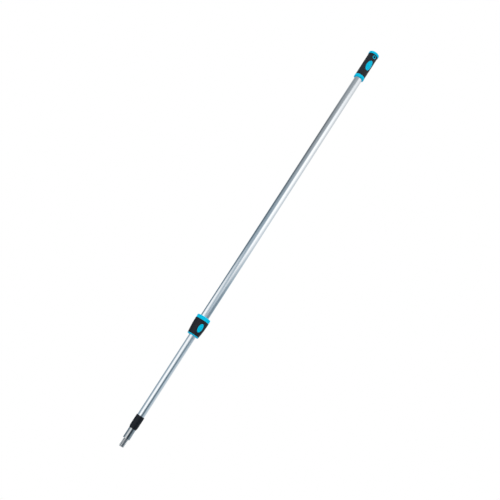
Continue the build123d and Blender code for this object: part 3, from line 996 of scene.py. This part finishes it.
def camera():
    """Looks up a little at the pole's middle, tilted so that the pole's top leans right."""
    back = FRONT * cos(CAMERA_RISE) + Vector((0, 0, sin(CAMERA_RISE)))
    up = back.cross(RIGHT)
    across = RIGHT * cos(CAMERA_LEAN) + up * sin(CAMERA_LEAN)
    upward = up * cos(CAMERA_LEAN) - RIGHT * sin(CAMERA_LEAN)
    data = bpy.data.cameras.new("camera")
    data.lens = CAMERA_LENS
    data.sensor_width = CAMERA_SENSOR
    data.shift_x, data.shift_y = CAMERA_SHIFT
    eye = bpy.data.objects.new("camera", data)
    place = Matrix.Translation(AIM + back * CAMERA_DISTANCE)
    eye.matrix_world = place @ Matrix((across, upward, back)).transposed().to_4x4()
    bpy.context.scene.collection.objects.link(eye)
    bpy.context.scene.camera = eye


def around(degrees):
    """A direction round the pole as a ramp's place: 0 degrees is towards the camera, + is right."""
    return (degrees + 180) / 360


def greys(*levels):
    """A ramp's stops from (degrees, brightness)."""
    return [(around(degrees), (level,) * 3) for degrees, level in levels]


def studio_light():
    """Soft boxes round the pole, a bright ceiling, and plain white behind everything.

    Going up, the bands are low, base, low again, middle, high and top. The lower ones are bright
    on the left and the upper two on the right, and the light is bluer where it is weak.
    """
    world = bpy.data.worlds.new("studio")
    bpy.context.scene.world = world
    world.use_nodes = True
    g = Graph(world.node_tree)
    ray = g.node("ShaderNodeTexCoord")
    angle = g.math("ARCTAN2", g.dot(ray, RIGHT), g.dot(ray, FRONT)) * (180 / pi)
    rise = g.math("ARCSINE", g.dot(ray, (0, 0, 1))) * (180 / pi)
    turn = angle * (1 / 360) + 0.5
    base = g.ramp(
        turn,
        *greys((-180, 0.50), (-140, 0.24), (-113, 0.26), (-80, 0.40), (-55, 0.85), (-36, 1.30)),
        *greys((-20, 1.20), (-5, 0.24), (5, 0.05), (36, 0.05), (50, 0.18), (68, 0.34)),
        *greys((95, 0.50), (113, 0.56), (180, 0.50)),
    )
    low = g.ramp(
        turn,
        *greys((-180, 0.66), (-150, 0.50), (-112, 0.34), (-84, 0.50), (-50, 1.06), (-30, 1.20)),
        *greys((-8, 0.98), (12, 0.34), (28, 0.10), (48, 0.36), (72, 0.60), (110, 0.66)),
        *greys((150, 0.86), (180, 0.66)),
    )
    middle = g.ramp(
        turn,
        *greys((-180, 0.52), (-150, 0.30), (-120, 0.18), (-102, 0.28), (-79, 1.08), (-54, 1.18)),
        *greys((-28, 0.70), (-5, 0.40), (25, 0.60), (45, 0.32), (72, 0.14), (110, 0.28)),
        *greys((150, 0.54), (180, 0.56)),
    )
    high = g.ramp(
        turn,
        *greys((-180, 0.68), (-150, 0.34), (-115, 0.11), (-90, 0.21), (-50, 0.38), (-25, 0.38)),
        *greys((-8, 0.56), (8, 1.14), (28, 1.24), (60, 1.00), (90, 0.78), (130, 0.66), (180, 0.68)),
    )
    top = g.ramp(
        turn,
        *greys((-180, 0.76), (-150, 0.74), (-115, 0.40), (-80, 0.32), (-50, 0.40), (-10, 0.38)),
        *greys((8, 0.50), (32, 0.84), (55, 0.88), (90, 0.76), (130, 0.68), (180, 0.76)),
    )
    level = g.mix(g.step(rise, -7, -4), low, base)
    level = g.mix(g.step(rise, -1.4, -0.7), level, low)
    level = g.mix(g.step(rise, 4.5, 8), level, middle)
    level = g.mix(g.step(rise, 8.5, 14), level, high)
    level = g.mix(g.step(rise, 24, 27.5), level, top)
    ceiling = g.step(rise, 38, 52)
    shade = g.mix(g.step(rise, 14, 24), (0.68, 0.98, 1.20, 1), (0.88, 0.99, 1.07, 1))
    tint = g.mix(g.step(level, 0.1, 1.0), shade, (0.98, 1.0, 1.01, 1))
    seen = g.mix(ceiling, level, (CEILING, CEILING, CEILING, 1))
    settings = {"data_type": "RGBA", "blend_type": "MULTIPLY"}
    coloured = g.node("ShaderNodeMix", settings, {0: 1.0, 6: seen, 7: tint}, output=2)
    lit = g.node("ShaderNodeBackground", {}, {"Color": coloured})
    white = g.node("ShaderNodeBackground", {}, {"Color": (1, 1, 1, 1)})
    straight = g.node("ShaderNodeLightPath")
    both = g.node("ShaderNodeMixShader", {}, {0: straight, 1: lit, 2: white})
    g.node("ShaderNodeOutputWorld", {}, {"Surface": both})
    bpy.context.scene.view_settings.view_transform = "Standard"


def floor():
    """A pale floor, below the tip at its furthest."""
    made, g = finish("pale_floor")
    cloud = g.noise(3, detail=4)
    colour = g.ramp(cloud, (0.3, (0.44, 0.43, 0.42)), (0.7, (0.48, 0.47, 0.46)))
    g.surface(Base_Color=colour, Roughness=cloud * 0.1 + 0.7)
    reach_down = max(JOINTS["extension"]["range_m"])
    place = (0, 0, NOSE - reach_down - FLOOR_GAP)
    nothing_selected()
    bpy.ops.mesh.primitive_circle_add(
        vertices=192, radius=FLOOR_R, fill_type="NGON", location=place
    )
    piece = named(settled(bpy.context.object), "floor")
    piece.data.materials.append(made)


dress_nodes()
outer_tube()
inner_tube()
handle_core()
handle_grip()
handle_cap()
hanging_eyelet()
badges()
lock_core()
lock_grip()
wiper_ring()
tip_sleeve()
threaded_tip()
studio_light()
floor()
camera()
